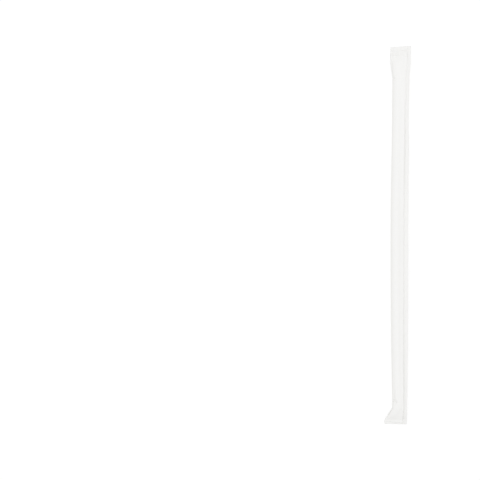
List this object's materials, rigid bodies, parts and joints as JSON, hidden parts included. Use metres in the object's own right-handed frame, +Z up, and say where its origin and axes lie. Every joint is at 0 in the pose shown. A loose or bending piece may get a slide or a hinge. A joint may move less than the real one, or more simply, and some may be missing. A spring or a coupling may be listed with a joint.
{
  "type": "paper-wrapped flexible drinking straw",
  "caption": "Flexible drinking straw sealed in a slim white paper sleeve with a crimped side seal and flat crimped ends, lying flat.",
  "frame": {"origin": "on the table, under the axis of the straw at the middle of its length", "axes": "+Y along the straw to its top end, +X across to the side seal, +Z up from the table"},
  "size_m": [0.016, 0.2303, 0.0067],
  "materials": {
    "sleeve_paper": "thin matt white wrapping paper with fine fibres and crimped seals"
  },
  "bodies": {
    "root": {"wrapped_straw": "sleeve_paper"}
  },
  "joints": []
}
